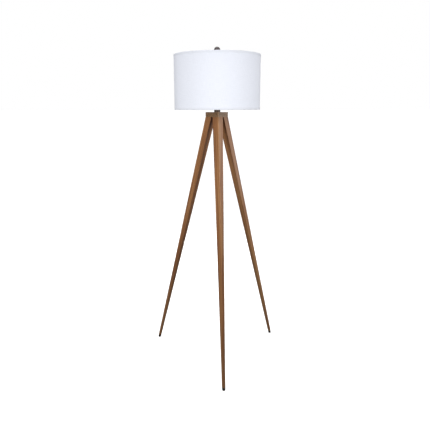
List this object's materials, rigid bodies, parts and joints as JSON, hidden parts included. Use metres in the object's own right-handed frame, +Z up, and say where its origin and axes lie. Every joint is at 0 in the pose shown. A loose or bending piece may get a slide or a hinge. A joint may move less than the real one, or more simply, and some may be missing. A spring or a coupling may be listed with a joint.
{
  "type": "tripod floor lamp",
  "caption": "Floor lamp on three splayed tapered wooden legs under a triangular block, with a drum shade held by a harp and a ball finial.",
  "frame": {"origin": "on the floor, under the lamp's vertical axis", "axes": "+Z up, -Y towards the front leg, +X to the lamp's left as it faces the viewer"},
  "size_m": [0.6398, 0.5691, 1.5255],
  "materials": {
    "walnut": "satin lacquered walnut",
    "dowel_wood": "plain beech dowel",
    "foot_plastic": "moulded dark foot tip",
    "zinc_steel": "zinc plated steel",
    "brass": "turned brass",
    "bronze_paint": "dark bronze finish",
    "black_plastic": "black phenolic",
    "liner_card": "insulating card sleeve",
    "bulb_cap_metal": "rolled aluminium cap",
    "bulb_plastic": "white bulb body",
    "opal_plastic": "opal diffuser",
    "board_white": "white solder-masked board",
    "shade_cloth": "white linen-look shade cloth",
    "shade_tape": "white hem tape",
    "styrene_liner": "white styrene backing"
  },
  "bodies": {
    "root": {"hub_block": "walnut", "leg_front": "walnut", "leg_right": "walnut", "leg_left": "walnut", "foot_glide_front": "foot_plastic", "foot_glide_right": "foot_plastic", "foot_glide_left": "foot_plastic", "foot_nails": "zinc_steel", "leg_bolts": "zinc_steel", "leg_bolt_washers": "zinc_steel", "leg_inserts": "brass", "leg_dowels": "dowel_wood", "threaded_pipe": "zinc_steel", "pipe_washer": "zinc_steel", "pipe_nut": "zinc_steel", "cord_bushing": "black_plastic", "neck_collar": "bronze_paint", "harp_saddle": "bronze_paint", "socket_cap": "bronze_paint", "cap_set_screw": "zinc_steel", "socket_shell": "bronze_paint", "socket_liner": "liner_card", "socket_core": "black_plastic", "terminal_screws": "brass", "screw_shell": "brass", "centre_contact": "brass", "harp_bow": "bronze_paint"},
    "shade": {"harp_swivel": "zinc_steel", "spider_washer": "zinc_steel", "spider_arms": "zinc_steel", "top_ring": "zinc_steel", "bottom_ring": "zinc_steel", "shade_fabric": "shade_cloth", "shade_liner": "styrene_liner", "shade_trim_top": "shade_tape", "shade_trim_bottom": "shade_tape"},
    "finial": {"finial_ball": "bronze_paint", "finial_insert": "brass"},
    "knob": {"switch_shaft": "brass", "switch_knob": "black_plastic"},
    "bulb": {"bulb_contact": "brass", "bulb_insulator": "black_plastic", "bulb_cap": "bulb_cap_metal", "bulb_body": "bulb_plastic", "bulb_dome": "opal_plastic", "led_board": "board_white"},
    "ferrule_left": {"ferrule_left": "bronze_paint"},
    "ferrule_right": {"ferrule_right": "bronze_paint"}
  },
  "joints": [
    {"name": "shade_swivel", "type": "hinge", "parent": "root", "child": "shade", "pos_m": [0, 0, 1.4795], "axis": [0, 0, 1], "continuous": true},
    {"name": "finial_turn", "type": "hinge", "parent": "shade", "child": "finial", "pos_m": [0, 0, 1.4935], "axis": [0, 0, 1], "continuous": true},
    {"name": "switch_knob_turn", "type": "hinge", "parent": "root", "child": "knob", "pos_m": [0, -0.03, 1.2845], "axis": [0, -1, 0], "continuous": true},
    {"name": "bulb_turn", "type": "hinge", "parent": "root", "child": "bulb", "pos_m": [0, 0, 1.3135], "axis": [0, 0, 1], "continuous": true},
    {"name": "ferrule_left_slide", "type": "slide", "parent": "root", "child": "ferrule_left", "axis": [0, 0, 1], "range_m": [0, 0.0125]},
    {"name": "ferrule_right_slide", "type": "slide", "parent": "root", "child": "ferrule_right", "axis": [0, 0, 1], "range_m": [0, 0.0125]}
  ]
}
